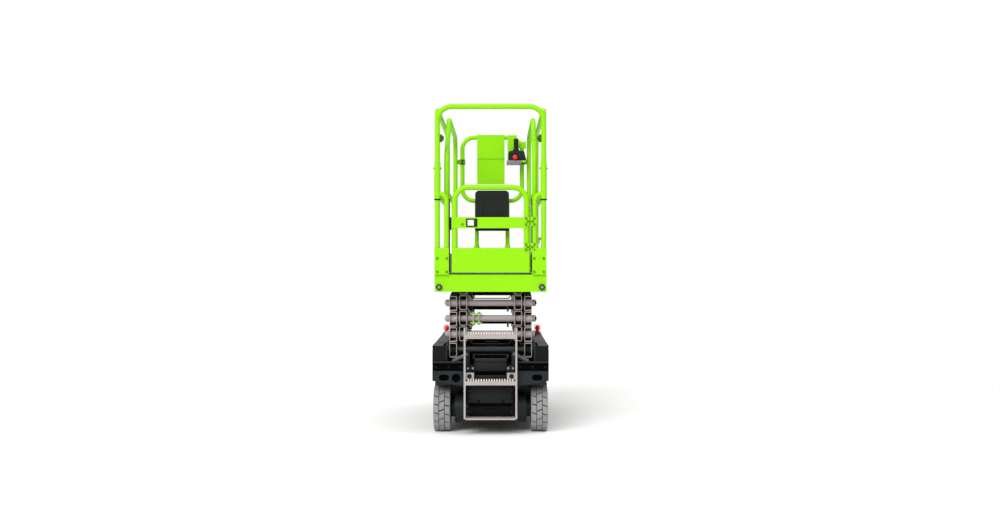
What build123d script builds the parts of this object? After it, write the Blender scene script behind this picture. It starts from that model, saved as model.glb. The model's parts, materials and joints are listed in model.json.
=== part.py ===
# Electric slab scissor lift, stowed: 1.85 m long, 0.76 m wide, 2.16 m high.
# Frame: origin under the middle on the ground, +X right seen from the ladder end, +Y to the front, +Z up.
# All lengths are in millimetres. Each sub-part is built in place and written to parts/NAME.step.
import os
from math import asin, cos, hypot, radians, sin, sqrt

from build123d import *

os.makedirs("parts", exist_ok=True)

# Envelope and plate work
half_length = 925.0
half_width = 380.0
fender_width = 83.0
platform_inset = 13.0
ladder_reach = 75.0
bumper_depth = 40.0
plate = 12.0
skin = 8.0
sheet = 5.0
clear = 5.0
fit = 0.3

# Wheels, drive and steering
tyre_diameter = 305.0
tyre_width = 112.0
tyre_inset = 2.0
shoulder = 12.0
rim_diameter = 208.0
spindle_diameter = 40.0
rear_overhang = 240.0
front_overhang = 250.0
arch_gap = 13.0
drive_length = 116.0
drum_diameter = 190.0
kingpin_offset = 31.0
kingpin_diameter = 22.0
axle_height = 90.0
steer_arm = 80.0
steer_travel = 65.0
knuckle_plate = 14.0

# Scissor stack
arm_length = 1500.0
level_rise = 103.0
base_pivot_z = 546.0
pivot_set_in = 115.0
arm_width = 50.0
arm_height = 96.0
arm_wall = 4.0
arm_corner = 8.0
arm_tail = 50.0
arm_gap = 16.0
shaft_diameter = 44.0
centre_diameter = 40.0
bush_wall = 6.0
roller_diameter = 40.0

# Lift cylinder
cylinder_ahead = 386.8
cylinder_rise = 55.0
eye_along = 500.0
eye_drop = 50.0
barrel_diameter = 90.0
rod_diameter = 50.0
eye_diameter = 76.0
pin_diameter = 32.0
bar_behind = 150.0
bar_below = 50.0

# Platform and guard rails
platform_frame = 113.0
floor_rise = 86.0
rail_height = 1118.0
rail_diameter = 34.0
sleeve_diameter = 41.0
post_diameter = 32.0
gate_tube = 36.0
hinge_diameter = 12.0
ring_diameter = 34.0
toe_board = 150.0
rail_gap = 60.0
ladder_half = 174.0
ladder_low = 100.0
ladder_bar = 12.0

# Sizes worked out from those above
chassis_rear = -half_length + ladder_reach
chassis_front = half_length - bumper_depth
tyre_radius = tyre_diameter / 2
tyre_outer_x = half_width - tyre_inset
tyre_inner_x = tyre_outer_x - tyre_width
rear_axle_y = -half_length + rear_overhang
front_axle_y = half_length - front_overhang
deck_low = tyre_diameter + arch_gap
deck_top = deck_low + plate
chassis_top = base_pivot_z + 0.3 * arm_height + sheet / 4
platform_half = half_width - platform_inset
side_x = half_width - fender_width
tub_half = side_x - plate
stack_half = tub_half - plate
outer_arm_x = stack_half - arm_width / 2
inner_arm_x = outer_arm_x - arm_width - arm_gap
spine_half = tyre_inner_x - drive_length
spine_low = tyre_radius - 0.58 * axle_height
spine_rear = chassis_rear + 10 * sheet
kingpin_x = tyre_inner_x - kingpin_offset
steer = radians(steer_travel)
nose_half = kingpin_x - tyre_radius * sin(steer) + kingpin_offset * cos(steer) - 3 * clear
axle_low = tyre_radius - axle_height / 2
axle_top = tyre_radius + axle_height / 2
wheel_sweep = hypot(tyre_outer_x - kingpin_x, tyre_radius)
tray_rear = rear_axle_y + tyre_radius + 2.5 * clear
tray_front = front_axle_y - wheel_sweep - 7 * clear
tray_hinge_x = half_width - 2 * sheet
tray_hinge_y = tray_rear + 1.4 * sheet
rear_pivot_y = chassis_rear + pivot_set_in
arm_reach = sqrt(arm_length**2 - level_rise**2)
front_pivot_y = rear_pivot_y + arm_reach
centre_pivot_y = rear_pivot_y + arm_reach / 2
pivot_z = [base_pivot_z + level_rise * step for step in range(5)]
rest_angle = asin(level_rise / arm_length)
along = Vector(0, cos(rest_angle), sin(rest_angle))
square = Vector(0, -sin(rest_angle), cos(rest_angle))
eye = Vector(0, rear_pivot_y, base_pivot_z) + along * eye_along - square * eye_drop
base = Vector(0, centre_pivot_y + cylinder_ahead, deck_top + cylinder_rise)
thrust = (eye - base).normalized()
rest_length = (eye - base).length
floor_z = pivot_z[4] + floor_rise
frame_low = floor_z - platform_frame
rear_plane = rear_pivot_y - pivot_set_in
platform_front = front_pivot_y + 0.77 * arm_tail
hoop_x = platform_half - 0.55 * rail_diameter
inner_post_x = hoop_x - rail_gap
rail_x = platform_half - rail_diameter / 2
slide_x = rail_x - rail_gap
main_rear = rear_plane + rail_diameter + 0.8 * clear
slide_rear = rear_plane + rail_gap
slide_front = platform_front - 2 * clear
slide_floor = floor_z + 1.8 * sheet
ring_y = slide_front + 5 * clear
ring_half = slide_x - 1.1 * ring_diameter
hinge_x = inner_post_x - post_diameter / 2 - hinge_diameter
gate_half = hinge_x - hinge_diameter / 2 - 2 * fit
bumper_in = ladder_half + clear / 2
bumper_span = half_width - bumper_in


def slab(x0, x1, y0, y1, z0, z1, mode=Mode.ADD):
    """Adds or cuts a box between two limits on each axis."""
    with Locations(((x0 + x1) / 2, (y0 + y1) / 2, (z0 + z1) / 2)):
        Box(abs(x1 - x0), abs(y1 - y0), abs(z1 - z0), mode=mode)


def rod(start, end, diameter, mode=Mode.ADD):
    """Adds or cuts a round bar from one point to another."""
    way = Vector(*end) - Vector(*start)
    with BuildSketch(Plane(origin=start, z_dir=way)) as disc:
        Circle(diameter / 2)
    extrude(disc.sketch, amount=way.length, mode=mode)


def across(x0, x1, y, z, diameter, mode=Mode.ADD):
    """Adds or cuts a round bar that lies across the machine."""
    rod((x0, y, z), (x1, y, z), diameter, mode)


def upright(x, y, z0, z1, diameter, mode=Mode.ADD):
    """Adds or cuts a round bar that stands up."""
    rod((x, y, z0), (x, y, z1), diameter, mode)


def tube(points, bend, diameter, close=False):
    """Adds a round tube along straight runs with bent corners."""
    with BuildLine() as run:
        FilletPolyline(*points, radius=bend, close=close)
    with BuildSketch(Plane(origin=run.line @ 0, z_dir=run.line % 0)) as ring:
        Circle(diameter / 2)
    sweep(ring.sketch, path=run.line)


def arm(x, rear_z, front_z):
    """Adds one open-ended rectangular arm between its rear and front pins."""
    rear = Vector(x, rear_pivot_y, rear_z)
    way = (Vector(x, front_pivot_y, front_z) - rear).normalized()
    with BuildSketch(Plane(origin=rear - way * arm_tail, x_dir=(1, 0, 0), z_dir=way)) as section:
        RectangleRounded(arm_width, arm_height, arm_corner)
        bore_w = arm_width - 2 * arm_wall
        bore_h = arm_height - 2 * arm_wall
        RectangleRounded(bore_w, bore_h, arm_corner - arm_wall, mode=Mode.SUBTRACT)
    extrude(section.sketch, amount=arm_length + 2 * arm_tail)


def height(share):
    """Gives a height above the platform floor as a share of the guard rail height."""
    return floor_z + share * rail_height


def save(part, name):
    """Labels a sub-part and writes its STEP file."""
    part.label = name
    export_step(part, f"parts/{name}.step")


# Chassis frame: deck plate over the wheels, two upright side plates, a hollow spine and nose below
with BuildPart() as chassis_frame:
    slab(-side_x, side_x, chassis_rear + skin, chassis_front, deck_low, deck_top)
    for side in (-1, 1):
        slab(side * tub_half, side * side_x, chassis_rear + skin, chassis_front, deck_top, chassis_top)
    slab(-tub_half, tub_half, chassis_front - plate, chassis_front, deck_top, chassis_top)
    spine_front = front_axle_y - wheel_sweep - 0.8 * kingpin_offset
    slab(-spine_half, spine_half, spine_rear, spine_front, spine_low, deck_low)
    slab(-spine_half + skin, spine_half - skin, spine_rear + skin, spine_front - skin,
         spine_low + skin, deck_low, Mode.SUBTRACT)
    slab(-nose_half, nose_half, spine_front, chassis_front, axle_top, deck_low)
    slab(-nose_half + skin, nose_half - skin, spine_front + skin, chassis_front - skin,
         axle_top + skin, deck_low, Mode.SUBTRACT)
    lug_x = 0.58 * barrel_diameter
    for side in (-1, 1):
        slab(side * lug_x, side * (lug_x + plate), base.Y - barrel_diameter / 2,
             base.Y + barrel_diameter / 2, deck_top, base.Z + 0.44 * barrel_diameter)
    across(-lug_x - 2 * plate, lug_x + 2 * plate, base.Y, base.Z, pin_diameter + 2 * fit, Mode.SUBTRACT)
    across(-side_x - plate, side_x + plate, rear_pivot_y, base_pivot_z, shaft_diameter + 2 * fit,
           Mode.SUBTRACT)
save(chassis_frame.part, "chassis_frame")

# Fender boxes over the four wheels, with a set-in skirt below, the rear pair with the tray hinge pins
with BuildPart() as fenders:
    skirt_x = half_width - 0.2 * fender_width
    skirt_z = deck_low + 2.6 * plate
    for side in (-1, 1):
        inner = side * side_x
        outer = side * half_width
        for y0, y1 in ((chassis_rear + skin, tray_rear - 3 * clear),
                       (tray_front + 12 * clear, chassis_front)):
            slab(inner, side * skirt_x, y0, y1, deck_low, deck_low + skin)
            slab(side * (skirt_x - skin), side * skirt_x, y0, y1, deck_low, skirt_z + skin)
            slab(side * (skirt_x - skin), outer, y0, y1, skirt_z, skirt_z + skin)
            slab(side * (half_width - 0.1 * fender_width), outer, y0, y1, skirt_z, chassis_top)
            slab(side * (half_width - 0.8 * fender_width), outer, y0, y1, chassis_top - skin, chassis_top)
            for end in (y0, y1 - skin):
                slab(inner, outer, end, end + skin, skirt_z, chassis_top)
                slab(inner, side * skirt_x, end, end + skin, deck_low, skirt_z)
        slab(side * (tray_hinge_x - 2 * sheet), outer, tray_rear - 3 * clear, tray_hinge_y + 2 * sheet,
             chassis_top - skin, chassis_top)
        upright(side * tray_hinge_x, tray_hinge_y, chassis_top - skin, chassis_top - 5 * skin,
                hinge_diameter)
save(fenders.part, "fenders")

# Rear bumper halves: folded flange, recessed web, lower plate with a slot, and one tow hole on the left
with BuildPart() as rear_bumper:
    fold = 2.75 * skin
    for side in (-1, 1):
        inner = side * bumper_in
        outer = side * half_width
        slab(inner, outer, chassis_rear, chassis_rear + skin, deck_low + 2.6 * plate,
             deck_low + 13.2 * plate)
        slab(side * side_x, outer, chassis_rear, chassis_rear + skin, deck_low + 13.2 * plate, chassis_top)
        slab(inner, outer, chassis_rear - fold, chassis_rear, deck_low + 12.3 * plate,
             deck_low + 13.2 * plate)
        with BuildSketch(Plane.XZ.offset(-chassis_rear)) as lower_plate:
            with BuildLine():
                Polyline((inner, deck_low - 0.3 * plate), (outer, deck_low + 2.6 * plate),
                         (outer, deck_low + 7.9 * plate), (inner, deck_low + 7.9 * plate), close=True)
            make_face()
            with Locations((side * (bumper_in + 0.63 * bumper_span), deck_low + 4.35 * plate)):
                SlotOverall(0.33 * bumper_span, 0.2 * bumper_span, mode=Mode.SUBTRACT)
            if side < 0:
                with Locations((inner - 0.24 * bumper_span, deck_low + 4.15 * plate)):
                    Circle(0.14 * bumper_span, mode=Mode.SUBTRACT)
        extrude(lower_plate.sketch, amount=fold)
save(rear_bumper.part, "rear_bumper")

# Dark base shaft that the first outer arms turn on
with BuildPart() as base_shaft:
    across(-side_x, side_x, rear_pivot_y, base_pivot_z, shaft_diameter)
save(base_shaft.part, "base_shaft")

# Roller tracks on the chassis side plates
with BuildPart() as roller_tracks:
    track_top = base_pivot_z - roller_diameter / 2 - fit
    track_end = front_pivot_y + 1.2 * arm_tail
    track_start = centre_pivot_y - roller_diameter
    for side in (-1, 1):
        slab(side * (inner_arm_x + arm_width / 2), side * tub_half, track_start, track_end,
             track_top - skin, track_top)
        slab(side * (tub_half - skin), side * tub_half, track_start, track_end, track_top - 8 * skin,
             track_top)
save(roller_tracks.part, "roller_tracks")

# Drive motors with their brake drums and the shafts that carry the rear wheels
with BuildPart() as drive_motors:
    drum_in = spine_half + 0.26 * drive_length
    drum_out = spine_half + 0.75 * drive_length
    for side in (-1, 1):
        across(side * spine_half, side * drum_in, rear_axle_y, tyre_radius, 0.6 * drum_diameter)
        across(side * drum_in, side * drum_out, rear_axle_y, tyre_radius, drum_diameter)
        across(side * drum_out, side * (tyre_inner_x - clear), rear_axle_y, tyre_radius, 0.6 * drum_diameter)
        across(side * (tyre_inner_x - clear), side * (tyre_outer_x - 0.3 * tyre_width), rear_axle_y,
               tyre_radius, spindle_diameter)
save(drive_motors.part, "drive_motors")

# Front axle beam with a boss for each kingpin
with BuildPart() as front_axle:
    boss = 0.8 * clear
    slab(-kingpin_x, kingpin_x, front_axle_y - kingpin_diameter, front_axle_y + kingpin_diameter,
         axle_low, axle_top)
    for side in (-1, 1):
        upright(side * kingpin_x, front_axle_y, axle_low - boss, axle_top + boss, 2.2 * kingpin_diameter)
    for side in (-1, 1):
        upright(side * kingpin_x, front_axle_y, axle_low - 2 * boss, axle_top + 2 * boss,
                kingpin_diameter + 2 * fit, Mode.SUBTRACT)
save(front_axle.part, "front_axle")

# Knuckles with kingpin, spindle and steering arm
lug_low = axle_low - 1.6 * clear - knuckle_plate
lug_high = axle_top + 1.6 * clear + knuckle_plate
pin_y = front_axle_y - steer_arm
for side, name in ((-1, "knuckle_left"), (1, "knuckle_right")):
    with BuildPart() as knuckle:
        face = side * (tyre_inner_x + 0.6 * knuckle_plate)
        for z0, z1 in ((lug_low, lug_low + knuckle_plate), (lug_high - knuckle_plate, lug_high)):
            slab(side * (kingpin_x - kingpin_diameter), face, front_axle_y - kingpin_diameter,
                 front_axle_y + kingpin_diameter, z0, z1)
        slab(face - side * 0.8 * knuckle_plate, face, front_axle_y - kingpin_diameter,
             front_axle_y + kingpin_diameter, lug_low, lug_high)
        upright(side * kingpin_x, front_axle_y, lug_low, lug_high, kingpin_diameter)
        across(face - side * sheet, side * (tyre_outer_x - 0.3 * tyre_width), front_axle_y, tyre_radius,
               spindle_diameter)
        slab(side * (kingpin_x - 0.6 * kingpin_diameter), side * (kingpin_x + 0.6 * kingpin_diameter),
             pin_y - 0.8 * kingpin_diameter, front_axle_y, lug_low, lug_low + knuckle_plate)
        upright(side * kingpin_x, pin_y, lug_low, lug_low - 1.6 * knuckle_plate, 0.7 * kingpin_diameter)
    save(knuckle.part, name)

# Tie rod with an eye on each steering arm pin
with BuildPart() as tie_rod:
    tie_low = lug_low - 1.3 * knuckle_plate
    tie_high = lug_low - 0.15 * knuckle_plate
    slab(-kingpin_x, kingpin_x, pin_y - 0.4 * kingpin_diameter, pin_y + 0.4 * kingpin_diameter, tie_low,
         tie_high)
    for side in (-1, 1):
        upright(side * kingpin_x, pin_y, tie_low, tie_high, 1.5 * kingpin_diameter)
    for side in (-1, 1):
        upright(side * kingpin_x, pin_y, tie_low - clear, tie_high + clear, 0.7 * kingpin_diameter + 2 * fit,
                Mode.SUBTRACT)
save(tie_rod.part, "tie_rod")

# Wheels: solid tyre on a dished steel rim, four alike
rim_radius = rim_diameter / 2
for end, axle_y in (("rear", rear_axle_y), ("front", front_axle_y)):
    for side, hand in ((-1, "left"), (1, "right")):
        hub = Plane(origin=(side * tyre_inner_x, axle_y, tyre_radius), x_dir=(0, 0, 1), z_dir=(side, 0, 0))
        with BuildPart() as tyre:
            with BuildSketch(hub):
                Circle(tyre_radius)
            extrude(amount=tyre_width)
            fillet(tyre.edges().filter_by(GeomType.CIRCLE), shoulder)
            with BuildSketch(hub):
                Circle(rim_radius)
            extrude(amount=tyre_width, mode=Mode.SUBTRACT)
        save(tyre.part, f"tyre_{end}_{hand}")
        with BuildPart() as rim:
            with BuildSketch(hub.offset(0.04 * tyre_width)):
                Circle(rim_radius)
                Circle(0.92 * rim_radius, mode=Mode.SUBTRACT)
            extrude(amount=0.92 * tyre_width)
            with BuildSketch(hub.offset(0.5 * tyre_width)):
                Circle(0.93 * rim_radius)
            extrude(amount=0.09 * tyre_width)
            with BuildSketch(hub.offset(0.3 * tyre_width)):
                Circle(0.9 * spindle_diameter)
            extrude(amount=0.4 * tyre_width)
            with BuildSketch(hub):
                Circle(spindle_diameter / 2 + fit)
            extrude(amount=tyre_width, mode=Mode.SUBTRACT)
        save(rim.part, f"rim_{end}_{hand}")

# Swing-out trays: a closed lower box with a tall outer door, battery on the left, pump on the right
tray_in = spine_half + 2 * clear
tray_low = spine_low - clear
tray_shelf = deck_low - 1.6 * clear
tray_top = chassis_top - skin - clear
door_in = side_x + clear
door_skin = 0.1 * fender_width
for side, name in ((-1, "tray_left"), (1, "tray_right")):
    with BuildPart() as tray:
        slab(side * tray_in, side * half_width, tray_rear, tray_front, tray_low, tray_shelf)
        slab(side * door_in, side * half_width, tray_rear, tray_front, tray_shelf, tray_top)
        slab(side * door_in, side * half_width, tray_hinge_y + 2 * sheet + 2 * clear, tray_front,
             tray_top, chassis_top)
        slab(side * (tray_in + skin), side * (half_width - door_skin), tray_rear + skin, tray_front - skin,
             tray_low + skin, tray_shelf - skin, Mode.SUBTRACT)
        slab(side * (door_in + door_skin), side * (half_width - door_skin),
             tray_hinge_y + 2 * hinge_diameter,
             tray_front - skin, tray_shelf - skin, tray_top - skin, Mode.SUBTRACT)
        upright(side * tray_hinge_x, tray_hinge_y, chassis_top - 6 * skin, chassis_top,
                hinge_diameter + 2 * fit, Mode.SUBTRACT)
    save(tray.part, name)
tray_inside = tray_front - tray_rear
with BuildPart() as battery_pack:
    slab(-tray_in - 1.5 * skin, -half_width + 1.5 * plate, tray_rear + 0.05 * tray_inside,
         tray_front - 0.05 * tray_inside, tray_low + skin, tray_shelf - 2 * skin)
save(battery_pack.part, "battery_pack")
with BuildPart() as pump_unit:
    slab(tray_in + 1.5 * skin, half_width - 1.5 * plate, tray_rear + 0.12 * tray_inside,
         tray_front - 0.15 * tray_inside, tray_low + skin, tray_shelf - 3 * skin)
save(pump_unit.part, "pump_unit")

# Ladder at the rear: two flat rails, two deep treads, a bottom bar and a tongue to the deck
with BuildPart() as ladder:
    ladder_top = base_pivot_z + 1.47 * level_rise
    rail_in = ladder_half - ladder_bar
    rail_back = -half_length + 10 * sheet
    for side in (-1, 1):
        slab(side * rail_in, side * ladder_half, -half_length, rail_back, ladder_low, ladder_top)
        slab(side * 0.62 * ladder_half, side * rail_in, -half_length + 3 * sheet, -half_length + 4 * sheet,
             deck_low + 3.6 * plate, deck_low + 7.25 * plate)
    for low, high in ((ladder_top - 1.41 * arm_width, ladder_top - 0.83 * arm_width),
                      (deck_low + 0.58 * plate, deck_low + 2.75 * plate),
                      (ladder_low, ladder_low + 2 * sheet)):
        slab(-rail_in, rail_in, -half_length, -half_length + sheet, low, high)
        slab(-rail_in, rail_in, -half_length, rail_back, high - sheet, high)
    slab(-rail_in, rail_in, -half_length + sheet, chassis_rear + skin, deck_low + 0.58 * plate, deck_top)
save(ladder.part, "ladder")

# Rear cover panel on the spine and the black service box on the deck
with BuildPart() as rear_panel:
    slab(-0.97 * spine_half, 0.97 * spine_half, spine_rear - skin, spine_rear, spine_low + 2 * skin,
         deck_low - skin)
save(rear_panel.part, "rear_panel")
with BuildPart() as service_box:
    slab(-0.59 * ladder_half, 0.59 * ladder_half, chassis_rear + 2.5 * skin,
         chassis_rear + 0.9 * pivot_set_in, deck_top, deck_top + 1.4 * arm_height)
save(service_box.part, "service_box")

# Red alarm lamps on the front fenders
with BuildPart() as beacons:
    for side in (-1, 1):
        upright(side * (half_width - 0.3 * fender_width), front_axle_y + 5 * clear, chassis_top,
                chassis_top + 13 * sheet, 0.42 * fender_width)
save(beacons.part, "beacons")

# Front bumper that closes the nose
with BuildPart() as front_bumper:
    slab(-half_width, half_width, chassis_front, half_length, deck_low, deck_low + 10 * plate)
    fillet(front_bumper.edges().filter_by(Axis.Z).sort_by(Axis.Y)[-2:], 0.6 * bumper_depth)
save(front_bumper.part, "front_bumper")

# Pothole guards under the spine's edges
with BuildPart() as pothole_guards:
    for side in (-1, 1):
        slab(side * (spine_half - skin), side * spine_half, tray_rear + 4 * plate, tray_front - 4 * plate,
             0.6 * spine_low, spine_low)
save(pothole_guards.part, "pothole_guards")

# Scissor arms: outer pairs rise to the front, inner pairs rise to the rear
roller_span = platform_half - stack_half
for level in range(4):
    low = pivot_z[level]
    high = pivot_z[level + 1]
    middle = (low + high) / 2
    with BuildPart() as outer_arms:
        for side in (-1, 1):
            arm(side * outer_arm_x, low, high)
            x0 = side * (outer_arm_x - arm_width / 2)
            x1 = side * stack_half
            across(x0, x1, rear_pivot_y, low, shaft_diameter + 2 * bush_wall)
            across(x0, x1, centre_pivot_y, middle, centre_diameter + 2 * bush_wall)
            if level < 3:
                across(x0, x1, front_pivot_y, high, shaft_diameter + 2 * bush_wall)
            else:
                across(x0, side * (stack_half + 0.76 * roller_span), front_pivot_y, high,
                       0.75 * roller_diameter)
                across(side * (stack_half + 0.08 * roller_span), side * (stack_half + 0.7 * roller_span),
                       front_pivot_y, high, roller_diameter)
        for side in (-1, 1):
            x0 = side * (outer_arm_x - arm_width)
            x1 = side * (outer_arm_x + arm_width)
            across(x0, x1, rear_pivot_y, low, shaft_diameter + 2 * fit, Mode.SUBTRACT)
            across(x0, x1, centre_pivot_y, middle, centre_diameter + 2 * fit, Mode.SUBTRACT)
            if level < 3:
                across(x0, x1, front_pivot_y, high, shaft_diameter + 2 * fit, Mode.SUBTRACT)
        if level == 0:
            bar = eye - along * bar_behind - square * bar_below
            for side in (-1, 1):
                with BuildSketch(Plane(origin=bar, x_dir=along, z_dir=(-1, 0, 0))) as hanger:
                    with Locations((0, -bar_below / 3)):
                        Rectangle(1.6 * bar_below, 2 * bar_below)
                extrude(hanger.sketch.moved(Location((side * outer_arm_x, 0, 0))), amount=skin, both=True)
            across(-outer_arm_x, outer_arm_x, bar.Y, bar.Z, shaft_diameter)
            for side in (-1, 1):
                ear = side * (0.66 * eye_diameter)
                with BuildSketch(Plane(origin=(ear, 0, 0), x_dir=(0, 1, 0), z_dir=(1, 0, 0))) as lug:
                    with Locations((bar.Y, bar.Z), (eye.Y, eye.Z)):
                        Circle(0.45 * eye_diameter)
                    make_hull()
                    with Locations((eye.Y, eye.Z)):
                        Circle(pin_diameter / 2 + fit, mode=Mode.SUBTRACT)
                extrude(lug.sketch, amount=plate / 2, both=True)
    save(outer_arms.part, f"outer_arms_{level + 1}")
    with BuildPart() as inner_arms:
        for side in (-1, 1):
            arm(side * inner_arm_x, high, low)
            start = side * (inner_arm_x - 0.64 * arm_width)
            if level > 0:
                across(start, side * (stack_half + clear), front_pivot_y, low, shaft_diameter)
            else:
                across(start, side * (tub_half - fit), front_pivot_y, low, 0.75 * roller_diameter)
                across(side * (inner_arm_x + 0.6 * arm_width), side * (tub_half - 2 * fit), front_pivot_y,
                       low, roller_diameter)
        across(-stack_half - fit, stack_half + fit, centre_pivot_y, middle, centre_diameter)
        reach = stack_half + 0.38 * arm_width if level < 3 else inner_arm_x + 1.16 * arm_width
        across(-reach, reach, rear_pivot_y, high, shaft_diameter)
    save(inner_arms.part, f"inner_arms_{level + 1}")

# Lift cylinder: barrel on the chassis lugs, rod whose eye sits between two lugs of the first outer arms
with BuildPart() as lift_barrel:
    mouth = rest_length - 1.2 * eye_diameter
    across(-0.55 * barrel_diameter, 0.55 * barrel_diameter, base.Y, base.Z, 0.88 * barrel_diameter)
    across(-0.7 * barrel_diameter, 0.7 * barrel_diameter, base.Y, base.Z, pin_diameter)
    rod(base + thrust * 0.2 * barrel_diameter, base + thrust * mouth, barrel_diameter)
    rod(base + thrust * 0.8 * barrel_diameter, base + thrust * (mouth + skin), rod_diameter + 2 * fit,
        Mode.SUBTRACT)
save(lift_barrel.part, "lift_barrel")
with BuildPart() as lift_rod:
    rod(base + thrust * 0.9 * barrel_diameter, base + thrust * rest_length, rod_diameter)
    across(-0.56 * eye_diameter, 0.56 * eye_diameter, eye.Y, eye.Z, eye_diameter)
save(lift_rod.part, "lift_rod")

# Platform deck: floor plate, side webs, rear fascia, roller tracks and the lugs of the top rear pivot
with BuildPart() as platform_deck:
    web = 1.2 * sheet
    track_low = pivot_z[4] + roller_diameter / 2 + fit
    slab(-platform_half, platform_half, rear_plane, platform_front, floor_z - 2 * sheet, floor_z)
    slab(-platform_half, platform_half, rear_plane - web, rear_plane, frame_low, floor_z)
    for side in (-1, 1):
        slab(side * (platform_half - web), side * platform_half, rear_plane, platform_front, frame_low,
             floor_z)
        slab(side * (stack_half + clear), side * platform_half, centre_pivot_y - roller_diameter,
             platform_front, track_low, track_low + 2 * sheet)
        slab(side * (stack_half + clear), side * platform_half, platform_front - web, platform_front,
             track_low, floor_z)
        slab(side * (inner_arm_x + 0.62 * arm_width), side * (inner_arm_x + 1.06 * arm_width),
             rear_pivot_y - 0.77 * shaft_diameter, rear_pivot_y + 0.77 * shaft_diameter,
             pivot_z[4] - 0.73 * shaft_diameter, floor_z)
    across(-inner_arm_x - 2 * arm_width, inner_arm_x + 2 * arm_width, rear_pivot_y, pivot_z[4],
           shaft_diameter + 2 * fit, Mode.SUBTRACT)
save(platform_deck.part, "platform_deck")

# Rubber bumpers on the rear fascia
with BuildPart() as bumper_pads:
    for side in (-1, 1):
        pad_x = side * (platform_half - 0.75 * roller_diameter)
        pad_z = frame_low + 0.27 * platform_frame
        rod((pad_x, rear_plane - web, pad_z), (pad_x, rear_plane - 4 * web, pad_z), 0.35 * platform_frame)
save(bumper_pads.part, "bumper_pads")

# Rear posts: outer post with its sleeve, inner gate post bent into it, and the corner plate
with BuildPart() as rear_posts:
    sleeve_low = height(0.443)
    sleeve_high = height(0.654)
    arc_z = height(0.473)
    for side in (-1, 1):
        upright(side * hoop_x, rear_plane, floor_z, sleeve_low, rail_diameter)
        upright(side * hoop_x, rear_plane, sleeve_low, sleeve_high, sleeve_diameter)
        tube([(side * inner_post_x, rear_plane, floor_z), (side * inner_post_x, rear_plane, arc_z),
              (side * hoop_x, rear_plane, arc_z)], 0.85 * rail_gap, post_diameter)
        slab(side * (inner_post_x - post_diameter / 2), side * platform_half,
             rear_plane - 0.65 * rail_diameter, rear_plane - 0.4 * rail_diameter, floor_z, height(0.156))
save(rear_posts.part, "rear_posts")

# Upper rear hoop
with BuildPart() as rear_hoop:
    top = height(1) - rail_diameter / 2
    tube([(-hoop_x, rear_plane, sleeve_high), (-hoop_x, rear_plane, top),
          (hoop_x, rear_plane, top), (hoop_x, rear_plane, sleeve_high)], 2.75 * rail_diameter, rail_diameter)
save(rear_hoop.part, "rear_hoop")

# Main side rails with their middle rail and toe board
for side, name in ((-1, "side_rail_left"), (1, "side_rail_right")):
    with BuildPart() as side_rail:
        x = side * rail_x
        top = height(0.984) - rail_diameter / 2
        main_front = platform_front - 0.6 * rail_diameter
        tube([(x, main_rear, floor_z), (x, main_rear, top), (x, main_front, top), (x, main_front, floor_z)],
             [1.3 * rail_diameter, 3.2 * rail_diameter], rail_diameter)
        rod((x, main_rear, height(0.469)), (x, main_front, height(0.469)), rail_diameter)
        slab(x - side * (rail_diameter / 2 + 0.6 * sheet), x - side * (rail_diameter / 2 - 0.2 * sheet),
             main_rear, main_front, floor_z, floor_z + toe_board)
    save(side_rail.part, name)

# Gate: bent frame, middle plate with a latch window, and kick plate
with BuildPart() as gate:
    half = gate_half - gate_tube / 2
    top = height(0.527) - gate_tube / 2
    foot = slide_floor + clear
    face_in = rear_plane - 0.39 * gate_tube
    face_out = rear_plane - 0.55 * gate_tube
    tube([(-half, rear_plane, foot), (-half, rear_plane, top), (half, rear_plane, top),
         (half, rear_plane, foot)], 2.5 * gate_tube, gate_tube)
    slab(-gate_half, half, face_out, face_in, height(0.271), height(0.3355))
    slab(-gate_half, gate_half, face_out, face_in, foot, height(0.1565))
    slab(-0.6 * gate_half, -0.425 * gate_half, face_out - sheet, face_in + sheet, height(0.2845),
         height(0.3215), Mode.SUBTRACT)
save(gate.part, "gate")
with BuildPart() as gate_hinges:
    for low, high in ((0.141, 0.177), (0.291, 0.332)):
        upright(hinge_x, rear_plane, height(low), height(high), hinge_diameter)
        slab(hinge_x, hinge_x + hinge_diameter, rear_plane - hinge_diameter / 4,
             rear_plane + hinge_diameter / 4, height(low), height(high))
save(gate_hinges.part, "gate_hinges")

# Extension deck on slide pads, with its toe boards
with BuildPart() as extension_deck:
    deck_half = slide_x + rail_diameter / 2 + 0.8 * sheet
    deck_end = ring_y - ring_diameter / 2
    slab(-deck_half, deck_half, slide_rear - 0.53 * rail_diameter, deck_end, floor_z + 0.8 * sheet,
         slide_floor)
    for side in (-1, 1):
        slab(side * 0.83 * slide_x, side * 0.96 * slide_x, slide_rear, slide_front,
             floor_z + fit, floor_z + 0.8 * sheet)
        slab(side * (deck_half - 0.8 * sheet), side * deck_half, slide_rear + 5.6 * rail_diameter, deck_end,
             slide_floor, floor_z + toe_board)
    slab(-slide_x + 0.6 * rail_diameter, slide_x - 0.6 * rail_diameter, deck_end - 1.2 * sheet, deck_end,
         slide_floor, floor_z + toe_board)
save(extension_deck.part, "extension_deck")

# Extension side rails: upright rear post, sloping run up to the top rail, wide bend at the front
for side, name in ((-1, "slide_rail_left"), (1, "slide_rail_right")):
    with BuildPart() as slide_rail:
        x = side * slide_x
        top = height(0.968) - rail_diameter / 2
        shoulder_z = height(0.7)
        tube([(x, slide_rear, slide_floor), (x, slide_rear, shoulder_z),
             (x, slide_rear + 0.34 * rail_height, top),
              (x, slide_front, top), (x, slide_front, slide_floor)],
             [2.5 * rail_diameter, 2.5 * rail_diameter, 4.2 * rail_diameter], rail_diameter)
        rod((x, slide_rear, height(0.479)), (x, slide_front, height(0.479)), rail_diameter)
    save(slide_rail.part, name)

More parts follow.
